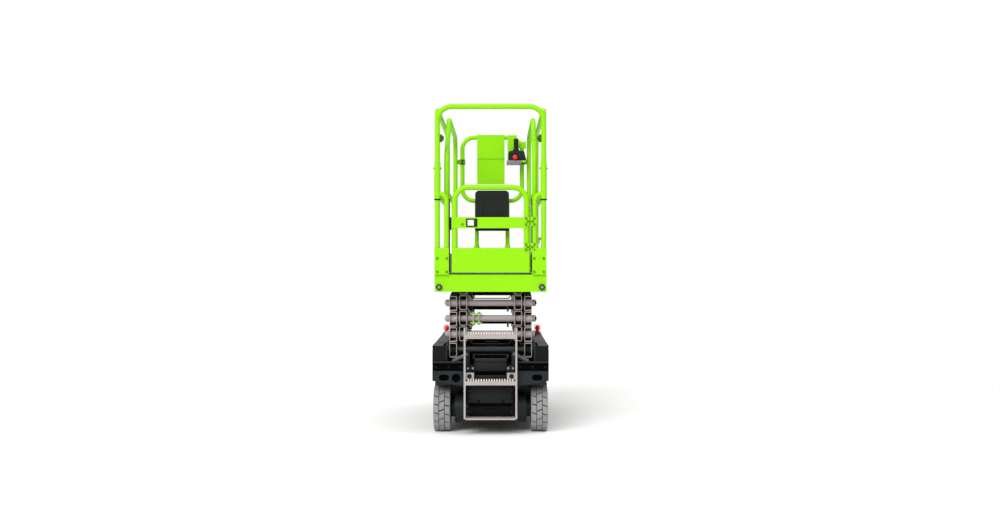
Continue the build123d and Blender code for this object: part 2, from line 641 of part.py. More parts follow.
# Front ring, open at its top right for the control station, with two legs and clamps to the side rails
with BuildPart() as front_ring:
    half = ring_half - ring_diameter / 2
    low = height(0.4965) + ring_diameter / 2
    high = height(0.975) - ring_diameter / 2
    leg_x = 0.4825 * ring_half
    tube([(half, ring_y, height(0.92)), (half, ring_y, low), (-half, ring_y, low), (-half, ring_y, high),
          (0.6 * ring_half, ring_y, high)], 2.7 * ring_diameter, ring_diameter)
    for side in (-1, 1):
        upright(side * leg_x, ring_y, slide_floor, low, 0.94 * ring_diameter)
        slab(side * half, side * (slide_x - 0.3 * rail_diameter), slide_front + 0.42 * rail_diameter,
             ring_y - 0.06 * ring_diameter, height(0.77), height(0.802))
        slab(side * (leg_x - 0.9 * ring_diameter), side * (leg_x + 0.9 * ring_diameter),
             ring_y - ring_diameter / 2, ring_y + ring_diameter / 3,
             floor_z + toe_board, floor_z + toe_board + 1.6 * sheet)
save(front_ring.part, "front_ring")

# Blank panel with a folded lip, and the document box on the ring's legs
panel_face = ring_y - ring_diameter / 2
with BuildPart() as sign_panel:
    panel_left = -0.47 * ring_half
    panel_right = 0.39 * ring_half
    slab(panel_left, panel_right, panel_face - sheet, panel_face, height(0.629), height(0.9775))
    slab(panel_left, panel_right, panel_face - 2 * sheet, panel_face - sheet, height(0.808), height(0.83))
save(sign_panel.part, "sign_panel")
with BuildPart() as document_box:
    box_half = 0.525 * ring_half
    slab(-box_half, box_half, panel_face - 0.43 * ring_half, panel_face, height(0.298), height(0.578))
    fillet(document_box.edges().filter_by(Axis.Y).group_by(Axis.Z)[-1], 0.12 * ring_half)
    chamfer(document_box.edges().filter_by(Axis.X).group_by(Axis.Z)[0].sort_by(Axis.Y)[:1], 0.08 * ring_half)
save(document_box.part, "document_box")

# Control station: cut plate with an arm to the side rail and a shelf, box with sloping sides
station = 0.71 * ring_half
shelf_z = height(0.788)
with BuildPart() as control_bracket:
    with BuildSketch(Plane.XZ.offset(-panel_face)) as cut_plate:
        with BuildLine():
            Polyline((0.48 * ring_half, shelf_z - 2 * sheet), (0.48 * ring_half, height(0.975)),
                     (0.785 * ring_half, height(0.975)), (0.785 * ring_half, height(0.955)),
                     (0.92 * ring_half, height(0.928)), (1.06 * ring_half, height(0.928)),
                     (1.06 * ring_half, height(0.881)), (0.785 * ring_half, height(0.881)),
                     (0.785 * ring_half, shelf_z - 2 * sheet), close=True)
        make_face()
    extrude(cut_plate.sketch, amount=sheet)
    slab(1.02 * ring_half, 1.06 * ring_half, panel_face - 7 * sheet, panel_face - sheet,
         height(0.881), height(0.928))
    slab(0.45 * ring_half, 1.05 * ring_half, panel_face - 0.47 * ring_half, panel_face - sheet,
         shelf_z - 2 * sheet, shelf_z)
save(control_bracket.part, "control_bracket")
with BuildPart() as control_box:
    box_left = 0.505 * ring_half
    box_right = 1.065 * ring_half
    box_rise = 0.3 * ring_half
    with BuildSketch(Plane.XZ.offset(-panel_face + 2 * sheet)) as box_face:
        with BuildLine():
            Polyline((box_left, shelf_z), (box_right, shelf_z),
                     (box_right - 0.06 * ring_half, shelf_z + 0.8 * box_rise),
                     (box_right - 0.09 * ring_half, shelf_z + box_rise),
                     (box_left + 0.05 * ring_half, shelf_z + box_rise),
                     (box_left, shelf_z + 0.8 * box_rise), close=True)
        make_face()
    extrude(box_face.sketch, amount=0.4 * ring_half)
    fillet(control_box.edges().filter_by(Axis.Y), 0.02 * ring_half)
save(control_box.part, "control_box")
box_front = panel_face - 2 * sheet - 0.4 * ring_half
with BuildPart() as stop_button:
    button_z = shelf_z + 0.3 * box_rise
    rod((station, box_front, button_z), (station, box_front - 2 * sheet, button_z), 0.11 * ring_half)
    rod((station, box_front - 2 * sheet, button_z), (station, box_front - 5 * sheet, button_z),
        0.145 * ring_half)
save(stop_button.part, "stop_button")
with BuildPart() as joystick:
    stick_x = 0.745 * ring_half
    stick_y = panel_face - 2 * sheet - 0.2 * ring_half
    stick_z = shelf_z + box_rise
    with BuildSketch(Plane(origin=(stick_x, stick_y, stick_z))) as boot:
        Circle(0.115 * ring_half)
    extrude(boot.sketch, amount=0.066 * ring_half, taper=30)
    upright(stick_x, stick_y, stick_z, stick_z + 0.4 * ring_half, 0.145 * ring_half)
    fillet(joystick.faces().sort_by(Axis.Z)[-1].edges(), 0.04 * ring_half)
save(joystick.part, "joystick")
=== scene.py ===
import json
from math import cos, pi, radians, sin

import bpy
from mathutils import Matrix, Vector

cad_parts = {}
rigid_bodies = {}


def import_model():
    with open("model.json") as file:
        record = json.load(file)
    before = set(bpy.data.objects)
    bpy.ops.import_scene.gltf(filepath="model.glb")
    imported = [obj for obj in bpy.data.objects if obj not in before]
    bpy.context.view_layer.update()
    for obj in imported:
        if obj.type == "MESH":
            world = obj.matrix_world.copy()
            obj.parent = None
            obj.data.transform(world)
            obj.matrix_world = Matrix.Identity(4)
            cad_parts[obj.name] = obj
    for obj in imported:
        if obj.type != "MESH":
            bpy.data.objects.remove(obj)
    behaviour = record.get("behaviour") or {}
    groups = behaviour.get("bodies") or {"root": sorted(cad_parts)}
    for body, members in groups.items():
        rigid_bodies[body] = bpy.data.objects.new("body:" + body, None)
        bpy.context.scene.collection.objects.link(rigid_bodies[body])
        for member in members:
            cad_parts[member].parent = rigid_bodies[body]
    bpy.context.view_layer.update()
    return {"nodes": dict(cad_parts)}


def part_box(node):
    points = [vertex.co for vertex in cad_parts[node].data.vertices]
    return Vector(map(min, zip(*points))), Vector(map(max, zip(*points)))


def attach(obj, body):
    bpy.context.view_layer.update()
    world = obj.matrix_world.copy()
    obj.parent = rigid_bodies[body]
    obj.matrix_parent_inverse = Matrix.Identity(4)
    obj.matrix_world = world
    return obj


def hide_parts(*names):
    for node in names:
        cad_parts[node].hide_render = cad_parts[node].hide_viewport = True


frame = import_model()
nodes = frame["nodes"]

# Chassis: welded steel plate that carries the fender boxes, axle, drive and swing-out trays.
# Powder coat, sprayed and baked: satin, with a soft wide highlight and no bare edges. Fenders and trays
# are black, the rest charcoal. The peel is drawn at 4 mm, because a true 1 mm is too fine to show.


def linear(code):
    """Turns an sRGB hex colour into the linear colour that a shader socket takes."""
    parts = [int(code[i:i + 2], 16) / 255 for i in (1, 3, 5)]
    return [p / 12.92 if p <= 0.04045 else ((p + 0.055) / 1.055) ** 2.4 for p in parts] + [1.0]


def add_node(tree, kind, values, links=()):
    """Adds one shader node with its settings, and links other nodes' outputs to its sockets."""
    new = tree.nodes.new(kind)
    for name, value in values.items():
        if hasattr(new, str(name)):
            setattr(new, name, value)
        else:
            new.inputs[name].default_value = value
    for source, output, socket in links:
        tree.links.new(source.outputs[output], new.inputs[socket])
    return new


def finish_of(name, low, high, rough, specular, patch_mm, grain_mm, relief, metal=0.0):
    """Makes a surface of two close tones in soft patches, with a grain of the given size as relief."""
    material = bpy.data.materials.new(name)
    material.use_nodes = True
    tree = material.node_tree
    shader = tree.nodes["Principled BSDF"]
    shader.inputs["Roughness"].default_value = rough
    shader.inputs["Metallic"].default_value = metal
    shader.inputs["Specular IOR Level"].default_value = specular
    place = add_node(tree, "ShaderNodeTexCoord", {})
    patch = add_node(tree, "ShaderNodeTexNoise", {"Scale": 1000 / patch_mm, "Detail": 3.0},
                     [(place, "Object", "Vector")])
    tone = add_node(tree, "ShaderNodeMix", {"data_type": "RGBA", 6: linear(low), 7: linear(high)},
                    [(patch, "Fac", 0)])
    tree.links.new(tone.outputs[2], shader.inputs["Base Color"])
    grain = add_node(tree, "ShaderNodeTexNoise", {"Scale": 1000 / grain_mm, "Detail": 2.0},
                     [(place, "Object", "Vector")])
    bump = add_node(tree, "ShaderNodeBump", {"Strength": relief, "Distance": 0.001},
                    [(grain, "Fac", "Height")])
    tree.links.new(bump.outputs["Normal"], shader.inputs["Normal"])
    return material


def dress(material, *names):
    """Gives CAD nodes a material."""
    for name in names:
        for slot in nodes[name].material_slots:
            slot.material = material


def tint(material, code, **limits):
    """Lays a second, matt colour on a material inside a box, given as X, Y and Z limits in metres: real
    paint, or painted shade.
    """
    tree = material.node_tree
    shader = tree.nodes["Principled BSDF"]
    colour = shader.inputs["Base Color"]
    gloss = shader.inputs["Specular IOR Level"]
    matt = 0.02
    first = colour.links[0].from_socket
    place = add_node(tree, "ShaderNodeTexCoord", {})
    split = add_node(tree, "ShaderNodeSeparateXYZ", {}, [(place, "Object", "Vector")])
    share = add_node(tree, "ShaderNodeValue", {})
    share.outputs[0].default_value = 1.0
    for axis, (low, high) in limits.items():
        middle, reach = (low + high) / 2, (high - low) / 2
        inside = add_node(tree, "ShaderNodeMath", {"operation": "COMPARE", 1: middle, 2: reach},
                          [(split, axis, 0)])
        share = add_node(tree, "ShaderNodeMath", {"operation": "MULTIPLY"},
                         [(share, "Value", 0), (inside, "Value", 1)])
    tone = add_node(tree, "ShaderNodeMix", {"data_type": "RGBA", 7: linear(code)},
                    [(share, "Value", 0)])
    tree.links.new(first, tone.inputs[6])
    tree.links.new(tone.outputs[2], colour)
    level = add_node(tree, "ShaderNodeMix", {"data_type": "FLOAT", 2: gloss.default_value, 3: matt},
                     [(share, "Value", 0)])
    if gloss.links:
        tree.links.new(gloss.links[0].from_socket, level.inputs[2])
    tree.links.new(level.outputs[0], gloss)


satin = {"rough": 0.48, "specular": 0.16, "patch_mm": 180, "grain_mm": 4, "relief": 0.05}
charcoal = finish_of("charcoal_powder_coat", "#1C2022", "#25292C", **satin)
dress(charcoal, "chassis_frame", "roller_tracks", "drive_motors", "front_axle", "knuckle_left",
      "knuckle_right", "tie_rod", "front_bumper", "lift_barrel", "pump_unit", "pothole_guards")
black_coat = finish_of("black_powder_coat", "#101111", "#151616", rough=0.34, specular=0.34,
                       patch_mm=180, grain_mm=4, relief=0.05)
dress(black_coat, "fenders", "tray_left", "tray_right")
# The base shaft takes a lighter, glossier copy of the charcoal. Its lighter colour is a painted
# highlight along its top.
shaft_coat_with_painted_highlight = finish_of("shaft_coat_with_painted_highlight", "#25292B", "#2C3032", rough=0.36, specular=0.4,
                       patch_mm=180, grain_mm=4, relief=0.04)
dress(shaft_coat_with_painted_highlight, "base_shaft")

# Rear bumper: two charcoal plates in front of a web, cut from steel plate and bolted to the chassis.
# The web stands in shade behind the plates. That shade is painted on as near black, so the slots look
# deep.
bumper_coat = finish_of("bumper_coat_with_painted_shade_web", "#1C2022", "#25292C", **satin)
web_depth = (-0.8506, -0.83)
# Painted shade: the recessed web below the fender line is coloured near black. Above it, the web takes
# the fenders' black.
tint(bumper_coat, "#050505", Y=web_depth, Z=(0.30, 0.466))
tint(bumper_coat, "#1B1C1C", Y=web_depth, Z=(0.4765, 0.60))
dress(bumper_coat, "rear_bumper")

# Chassis bolts: hex bolts with washers, cold-headed, that hold the bumpers and the rear panel.
# Black oxide is thin and slightly oily, so it is dark with a clear highlight. On the chassis it is dull.


def turned(outline, sides, name):
    """Draws a round piece up Z: each (radius, height) step is extruded, then scaled to its radius."""
    bpy.ops.object.select_all(action="DESELECT")
    bpy.ops.mesh.primitive_circle_add(vertices=sides, radius=outline[0][0], fill_type="NGON",
                                      location=(0, 0, outline[0][1]))
    piece = bpy.context.object
    piece.name = name
    bpy.ops.object.transform_apply(location=True, rotation=True, scale=True)
    bpy.ops.object.mode_set(mode="EDIT")
    bpy.ops.mesh.select_all(action="SELECT")
    for (radius, height), (next_radius, next_height) in zip(outline, outline[1:]):
        rise = (0, 0, next_height - height)
        bpy.ops.mesh.extrude_region_move(TRANSFORM_OT_translate={"value": rise})
        grow = next_radius / radius
        bpy.ops.transform.resize(value=(grow, grow, 1))
    bpy.ops.mesh.select_all(action="SELECT")
    bpy.ops.mesh.normals_make_consistent(inside=False)
    bpy.ops.object.mode_set(mode="OBJECT")
    bpy.ops.object.shade_smooth_by_angle(angle=radians(30))
    return piece


def join(pieces, name):
    """Joins pieces into one with the given name, its place kept in its mesh."""
    bpy.ops.object.select_all(action="DESELECT")
    for piece in pieces:
        piece.select_set(True)
    bpy.context.view_layer.objects.active = pieces[0]
    if len(pieces) > 1:
        bpy.ops.object.join()
    bpy.ops.object.transform_apply(location=True, rotation=True, scale=True)
    pieces[0].name = name
    return pieces[0]


def stamp(pattern, place):
    """Copies a pattern, with its own mesh, to a place given as a matrix."""
    copy = pattern.copy()
    copy.data = pattern.data.copy()
    bpy.context.collection.objects.link(copy)
    copy.matrix_world = place
    return copy


def copies(pattern, places, name):
    """Copies a pattern drawn up the Z axis to each (point, direction), as one piece."""
    made = []
    for point, way in places:
        turn = Vector(way).to_track_quat("Z", "Y").to_matrix().to_4x4()
        made.append(stamp(pattern, Matrix.Translation(point) @ turn))
    return join(made, name)


def mirrored(point, way):
    """Gives a place on the right and its mirror on the left, each as a point and a direction."""
    x, y, z = point
    across, along, up = way
    return [((s * x, y, z), (s * across, along, up)) for s in (-1, 1)]


def fix(piece, body, material):
    """Gives a piece its material and slot, and makes it ride on a body."""
    piece.data.materials.clear()
    piece.data.materials.append(material)
    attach(piece, body)


rearward, forward, upward = (0, -1, 0), (0, 1, 0), (0, 0, 1)
dull_black = finish_of("dull_black_oxide", "#060606", "#0B0B0B", rough=0.60, specular=0.12,
                       patch_mm=60, grain_mm=3, relief=0.03)
washer = turned([(0.0105, 0), (0.0105, 0.0016), (0.0098, 0.0022)], 20, "washer")
head = turned([(0.0092, 0.002), (0.0092, 0.0075), (0.0082, 0.0086), (0.0040, 0.0086)], 6, "head")
bolt = join([washer, head], "bolt_pattern")
plate_setback = 0.022
leaf_thick = 0.004
rear_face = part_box("rear_bumper")[0][1] + plate_setback
panel_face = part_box("rear_panel")[0][1]
front_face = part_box("front_bumper")[1][1]
panel_rows = [0.125 + 0.034 * i for i in range(6)]
bolt_spots = []
for x in (0.194, 0.274, 0.360):
    bolt_spots += mirrored((x, rear_face, 0.437), rearward)
for z in (0.208, 0.122):
    bolt_spots += mirrored((0.080, panel_face - leaf_thick, z), rearward)
for z in panel_rows:
    bolt_spots += mirrored((0.146, panel_face, z), rearward)
for x in (0.10, 0.30):
    for z in (0.345, 0.415):
        bolt_spots += mirrored((x, front_face, z), forward)
fix(copies(bolt, bolt_spots, "chassis_bolts"), "chassis", dull_black)

# Rear covers: the spine's panel has a folded lower leaf with a drain slot, the fenders a rolled rim.
# They are bent from 3 mm sheet and coated with the chassis. Gap and slot are painted shade, near black,
# for depth.


def block(low, high, edge, name):
    """Adds a box between two corners and rounds its edges with an applied bevel."""
    bpy.ops.object.select_all(action="DESELECT")
    low, high = Vector(low), Vector(high)
    bpy.ops.mesh.primitive_cube_add(size=1, location=(low + high) / 2)
    piece = bpy.context.object
    piece.name = name
    piece.scale = high - low
    bpy.ops.object.transform_apply(location=True, rotation=True, scale=True)
    if edge:
        rounding = piece.modifiers.new("rounding", "BEVEL")
        rounding.width = edge
        rounding.segments = 2
        rounding.limit_method = "NONE"
        bpy.ops.object.modifier_apply(modifier=rounding.name)
        bpy.ops.object.shade_smooth_by_angle(angle=radians(40))
    return piece


def sides_of(low, high, edge, name):
    """Adds a box on the right and its mirror on the left, as one piece."""
    right = block(low, high, edge, name)
    left = block((-high[0], low[1], low[2]), (-low[0], high[1], high[2]), edge, name)
    return join([right, left], name)


leaf_half = 0.134
rear_depth = (-0.90, -0.70)
leaf = []
for z0, z1, thick in ((0.112, 0.174, 0.006), (0.197, 0.300, leaf_thick)):
    leaf.append(block((-leaf_half, panel_face - thick, z0), (leaf_half, panel_face, z1), 0.002, "leaf"))
panel_coat = finish_of("panel_powder_coat", "#1B1D1E", "#212324", **satin)
# The lower leaf is drawn darker. The drain slot is painted shade in near black.
tint(panel_coat, "#151616", Y=rear_depth, Z=(0.10, 0.175))
tint(panel_coat, "#040404", X=(-0.036, 0.036), Y=rear_depth, Z=(0.157, 0.165))
fix(join(leaf, "rear_panel_leaf"), "chassis", panel_coat)
gap_coat = finish_of("panel_coat_with_painted_shade_gap", "#1B1D1E", "#212324", **satin)
# Painted shade: the gap between the leaves is coloured near black.
tint(gap_coat, "#050505", Y=rear_depth, Z=(0.172, 0.199))
dress(gap_coat, "rear_panel")
fender_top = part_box("fenders")[1][2]
rims = []
for low_y, high_y in ((-0.842, -0.537), (0.512, 0.883)):
    rims.append(sides_of((0.374, low_y + 0.004, fender_top - 0.010),
                         (0.3815, high_y, fender_top + 0.0015), 0.0015, "rim"))
    rims.append(sides_of((0.379, low_y + 0.03, 0.358),
                         (0.383, high_y - 0.03, fender_top - 0.03), 0.0015, "rim"))
fix(join(rims, "fender_rims"), "chassis", black_coat)

# Service box: a black moulded housing for the charger and switches, with a lid and a row of sockets.
# The housing is matt ABS with a fine spark texture, screwed down between two sheet bulkheads that
# carry zinc-plated plugs. Zinc is bright, with a slightly grey sheen.
spark_abs = {"rough": 0.55, "specular": 0.15, "patch_mm": 40, "grain_mm": 1.5, "relief": 0.08}
black_plastic = finish_of("black_abs", "#1C1E1C", "#252725", **spark_abs)
dress(black_plastic, "battery_pack")
box_plastic = finish_of("black_abs_with_painted_shade_gap", "#171917", "#1F211F", **spark_abs)
# Painted shade: the gap between the lid and the lower block is coloured near black.
tint(box_plastic, "#030303", Y=rear_depth, Z=(0.384, 0.408))
dress(box_plastic, "service_box")
box_low, box_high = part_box("service_box")
lid_top = box_high[2] + 0.002
lid = [block((-0.106, box_low[1] - 0.006, 0.409), (0.106, box_high[1], lid_top), 0.004, "lid"),
       block((-0.104, box_low[1] - 0.004, 0.340), (0.104, box_low[1], 0.383), 0.003, "lid")]
socket = turned([(0.011, 0), (0.011, 0.008), (0.0095, 0.010), (0.0075, 0.010), (0.0075, 0.004),
                 (0.0030, 0.004)], 20, "socket_pattern")
socket_spots = [((x, box_low[1], 0.396), rearward) for x in (-0.045, -0.018, 0.012, 0.044)]
lid.append(copies(socket, socket_spots, "sockets"))
fix(join(lid, "service_box_lid"), "chassis", box_plastic)
bulkhead_face = -0.824
bulkhead = [sides_of((0.108, bulkhead_face, 0.330), (0.170, -0.818, 0.446), 0.0015, "bulkhead"),
            sides_of((0.138, -0.834, 0.440), (0.162, -0.822, 0.540), 0.0015, "bulkhead")]
fix(join(bulkhead, "service_bulkheads"), "chassis", charcoal)
plug = turned([(0.009, 0), (0.009, 0.012), (0.0075, 0.014), (0.0075, 0.024), (0.0045, 0.026)],
              16, "plug_pattern")
plug_spots = []
for x in (0.116, 0.148):
    plug_spots += mirrored((x, bulkhead_face, 0.427), rearward)
steel = finish_of("zinc_plated_steel", "#8C8E8F", "#9C9E9F", rough=0.35, specular=0.5,
                  patch_mm=20, grain_mm=3, relief=0.03, metal=0.6)
fix(copies(plug, plug_spots, "service_plugs"), "chassis", steel)

# Battery conduits: grey corrugated hoses that leave the bulkheads and dive behind the bumper.
# The hose is blow moulded in ribs, and each ends in a red terminal sleeve, pushed on by hand.
# The red is glossy, tinted acrylic, which the alarm lamps and the stop button share.
rib_pitch = 0.008
ribs = [(0.0150 if i % 2 else 0.0100, rib_pitch * i) for i in range(14)]
conduit = turned(ribs + [(0.0075, rib_pitch * 14)], 20, "conduit_pattern")
sleeve = turned([(0.0065, 0.104), (0.0065, 0.128), (0.0050, 0.130)], 16, "sleeve_pattern")
conduit_spots = mirrored((0.150, -0.828, 0.524), (0.116, 0, -0.060))
conduit_grey = finish_of("grey_conduit", "#4E4E4E", "#7A7A7A", rough=0.60, specular=0.3,
                         patch_mm=12, grain_mm=2, relief=0.08)
fix(copies(conduit, conduit_spots, "battery_conduits"), "chassis", conduit_grey)
red = finish_of("red_acrylic", "#E01608", "#EE2212", rough=0.22, specular=0.4,
                patch_mm=30, grain_mm=6, relief=0.02)
fix(copies(sleeve, conduit_spots, "terminal_sleeves"), "chassis", red)

# Cable tray: a frame of bent strip on the service box's lid that keeps the cables off the scissor arms.
# It is welded from 4 mm steel and powder coated, satin. Its dark umber is a warm tone darkened with
# painted shade.
umber = finish_of("umber_coat_with_painted_shade", "#2C2523", "#342C2A", rough=0.50, specular=0.2,
                  patch_mm=120, grain_mm=4, relief=0.04)
tray_half = 0.118
tray_y = (-0.803, -0.799)
wing_y = (-0.800, -0.752)
cable_tray = []
for z0, z1 in ((0, 0.026), (0.048, 0.053)):
    cable_tray.append(block((-tray_half, tray_y[0], lid_top + z0), (tray_half, tray_y[1], lid_top + z1),
                            0.001, "strip"))
for x0, (y0, y1), height in ((0.106, tray_y, 0.052), (0.114, wing_y, 0.053), (0.070, wing_y, 0.003)):
    cable_tray.append(sides_of((x0, y0, lid_top), (tray_half, y1, lid_top + height), 0.001, "strip"))
fix(join(cable_tray, "cable_tray"), "chassis", umber)

# Swing-out trays: doors of pressed sheet with a raised field, cooling louvres and a black slam latch.
# Each door is hung on two pins at its rear edge, and coated black like the fenders.


def door_block(skin_x, side, proud, y_span, z_span, name):
    """Adds a rounded block on a door's skin, between two heights above it."""
    low_x, high_x = sorted(skin_x + side * height for height in proud)
    return block((low_x, y_span[0], z_span[0]), (high_x, y_span[1], z_span[1]), 0.003, name)


louvre_y = (-0.40, -0.16)
for side, hand in ((-1, "left"), (1, "right")):
    low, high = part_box(f"tray_{hand}")
    skin_x = high[0] if side > 0 else low[0]
    field_y = (low[1] + 0.05, high[1] - 0.05)
    pressing = []
    for field_z in ((low[2] + 0.03, 0.298), (0.328, high[2] - 0.03)):
        pressing.append(door_block(skin_x, side, (-0.001, 0.004), field_y, field_z, "field"))
    for i in range(7):
        louvre_z = 0.360 + 0.020 * i
        pressing.append(door_block(skin_x, side, (0.003, 0.010), louvre_y, (louvre_z, louvre_z + 0.010),
                                   "louvre"))
    fix(join(pressing, f"tray_{hand}_pressing"), f"tray_{hand}", black_coat)
    latch = [door_block(skin_x, side, (0.003, 0.009), (0.275, 0.365), (0.405, 0.465), "latch"),
             door_block(skin_x, side, (0.008, 0.014), (0.290, 0.345), (0.418, 0.452), "latch")]
    fix(join(latch, f"tray_{hand}_latch"), f"tray_{hand}", black_plastic)

# Alarm lamps: red moulded lenses with ribs on black feet, one lobe on the left and two stacked on the
# right. They are tinted acrylic, glossy and saturated. A bent wire guard stands over each lamp.
lamp_low, lamp_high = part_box("beacons")
lamp_radius = 0.0174
lamp_x = lamp_high[0] - lamp_radius
lamp_y = (lamp_low[1] + lamp_high[1]) / 2
lamp_z = lamp_low[2]
lens = turned([(0.0120, 0), (0.0178, 0.007), (0.0192, 0.014), (0.0180, 0.018), (0.0196, 0.022),
               (0.0180, 0.026), (0.0176, 0.031), (0.0140, 0.037), (0.0080, 0.040), (0.0030, 0.041)],
              28, "lens_pattern")
small_lens = turned([(0.0130, 0), (0.0156, 0.005), (0.0146, 0.009), (0.0156, 0.013), (0.0120, 0.021)],
                    24, "small_lens_pattern")
lenses = [copies(lens, mirrored((lamp_x, lamp_y, lamp_z + 0.020), upward), "lens"),
          copies(small_lens, [((lamp_x, lamp_y, lamp_z + 0.003), upward)], "lens")]
lamp_lenses = join(lenses, "alarm_lamps")
fix(lamp_lenses, "chassis", red)
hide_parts("beacons")
foot = turned([(0.0140, 0), (0.0140, 0.012), (0.0130, 0.018)], 28, "lamp_foot_pattern")
foot_spots = [((x, lamp_y, lamp_z + z), upward)
              for x, z in ((-lamp_x, 0.003), (-lamp_x, -0.004), (lamp_x, -0.014))]
fix(copies(foot, foot_spots, "alarm_lamp_feet"), "chassis", black_plastic)
wire = 0.0025
guard_low, guard_high = lamp_x - 0.0235, lamp_x + 0.0235
guard_top = lamp_z + 0.066
guard = []
for x0, x1, z0 in ((guard_low, guard_low + wire, lamp_z), (guard_high - wire, guard_high, lamp_z),
                   (guard_low, guard_high, guard_top - wire)):
    guard.append(sides_of((x0, lamp_y - 0.0015, z0), (x1, lamp_y + 0.0015, guard_top), 0.001, "guard"))
fix(join(guard, "lamp_guards"), "chassis", steel)

# Tyres: solid non-marking rubber with three rows of staggered blocks, pressed on a steel rim.
# The rubber is chalky grey, matt, and moulded with sharp block edges. The grooves are painted shade,
# near black.
# The rims are coated mid grey, with a hub cap and five nuts in black oxide.
tyre_rubber = finish_of("grey_nonmarking_rubber", "#838383", "#919191", rough=0.85, specular=0.25,
                        patch_mm=50, grain_mm=2, relief=0.12)
# Painted shade: the casing between the tread blocks is coloured near black.
groove_shade_rubber = finish_of("groove_painted_shade_rubber", "#161616", "#1E1E1E", rough=0.90, specular=0.1,
                          patch_mm=30, grain_mm=2, relief=0.1)
rim_coat = finish_of("rim_grey_coat", "#4A4E50", "#565A5C", rough=0.40, specular=0.4,
                     patch_mm=60, grain_mm=4, relief=0.04)
black_oxide = finish_of("black_oxide_steel", "#0E0F10", "#161718", rough=0.34, specular=0.3,
                        patch_mm=60, grain_mm=3, relief=0.03)
tread_radius = 0.1523
casing_radius = 0.1455
tread_half = 0.050
root_depth = 0.004
shoulder_drop = 0.0045
block_count = 16
pitch = 2 * pi / block_count
groove = 0.046
nut_count = 5
nut_circle = 0.062
disc_out = 0.0101
cap_out = 0.0224


def spun(profile, sides, name):
    """Spins a closed outline of (across, radius) points about the X axis into a ring."""
    bpy.ops.object.select_all(action="DESELECT")
    mesh = bpy.data.meshes.new(name)
    count = len(profile)
    edges = [(i, (i + 1) % count) for i in range(count)]
    mesh.from_pydata([(x, 0, r) for x, r in profile], edges, [])
    piece = bpy.data.objects.new(name, mesh)
    bpy.context.collection.objects.link(piece)
    bpy.context.view_layer.objects.active = piece
    piece.select_set(True)
    bpy.ops.object.mode_set(mode="EDIT")
    bpy.ops.mesh.select_all(action="SELECT")
    bpy.ops.mesh.spin(steps=sides, angle=2 * pi, center=(0, 0, 0), axis=(1, 0, 0))
    bpy.ops.mesh.select_all(action="SELECT")
    bpy.ops.mesh.remove_doubles(threshold=0.00001)
    bpy.ops.mesh.normals_make_consistent(inside=False)
    bpy.ops.object.mode_set(mode="OBJECT")
    bpy.ops.object.shade_smooth_by_angle(angle=radians(30))
    return piece


def tread_block(middle, half, start, slant, outer):
    """Bends one bevelled block of tread round the tyre, its ends slanted and its outer edge lowered."""
    piece = block((-half, -0.5, 0), (half, 0.5, 1), 0, "tread_block")
    bpy.ops.object.mode_set(mode="EDIT")
    bpy.ops.mesh.select_all(action="SELECT")
    for cut in (-0.25, 0.0, 0.25):
        bpy.ops.mesh.bisect(plane_co=(0, cut, 0), plane_no=(0, 1, 0))
        bpy.ops.mesh.select_all(action="SELECT")
    bpy.ops.object.mode_set(mode="OBJECT")
    root = casing_radius - root_depth
    for vertex in piece.data.vertices:
        x, along, up = vertex.co
        radius = root + up * (tread_radius - root)
        if up > 0.5 and outer * x > 0:
            radius -= shoulder_drop
        angle = start + along * (pitch - groove) + slant * x
        vertex.co = (middle + x, -radius * sin(angle), radius * cos(angle))
    rounding = piece.modifiers.new("rounding", "BEVEL")
    rounding.width = 0.0012
    rounding.segments = 1
    rounding.angle_limit = radians(40)
    bpy.ops.object.modifier_apply(modifier=rounding.name)
    return piece


half_profile = [(0.056, 0.104), (0.056, 0.113), (0.0545, 0.116), (0.056, 0.119), (0.056, 0.132),
                (0.0540, 0.141), (0.0480, casing_radius)]
profile = [(-x, r) for x, r in half_profile] + half_profile[::-1]
casing = spun(profile, 72, "casing")
casing_faces = len(casing.data.polygons)
tread = [casing]
for middle, half, stagger, slant, outer in ((-0.0368, 0.0166, 0.0, 2.2, -1),
                                            (0.0, 0.0168, 0.5, -2.6, 0),
                                            (0.0368, 0.0166, 0.15, 2.2, 1)):
    for i in range(block_count):
        tread.append(tread_block(middle, half, (i + stagger) * pitch, slant, outer))
tyre_pattern = join(tread, "tyre_pattern")
hub_cap = turned([(0.034, 0), (0.034, 0.010), (0.030, 0.014), (0.018, 0.016), (0.004, 0.017)],
                 28, "hub_cap_pattern")
nut = turned([(0.0105, 0), (0.0105, 0.010), (0.0085, 0.012), (0.0060, 0.012), (0.0060, 0.017),
              (0.0030, 0.018)], 6, "nut_pattern")
nut_turns = [2 * pi * i / nut_count for i in range(nut_count)]
for end in ("rear", "front"):
    for side, hand in ((-1, "left"), (1, "right")):
        low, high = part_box(f"tyre_{end}_{hand}")
        hub = (Vector(low) + Vector(high)) / 2
        body = f"wheel_{end}_{hand}"
        tyre = copies(tyre_pattern, [(hub, upward)], f"tread_{end}_{hand}")
        fix(tyre, body, tyre_rubber)
        tyre.data.materials.append(groove_shade_rubber)
        for face in tyre.data.polygons[:casing_faces]:
            across = abs(face.center.x - hub.x)
            face.material_index = 1 if across < tread_half else 0
        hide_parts(f"tyre_{end}_{hand}")
        dress(rim_coat, f"rim_{end}_{hand}")
        disc_x = hub.x + side * disc_out
        cap_x = hub.x + side * cap_out
        outward = (side, 0, 0)
        cap = copies(hub_cap, [((cap_x, hub.y, hub.z), outward)], f"hub_cap_{end}_{hand}")
        fix(cap, body, rim_coat)
        nut_spots = [((disc_x, hub.y + nut_circle * cos(a), hub.z + nut_circle * sin(a)), outward)
                     for a in nut_turns]
        fix(copies(nut, nut_spots, f"wheel_nuts_{end}_{hand}"), body, black_oxide)
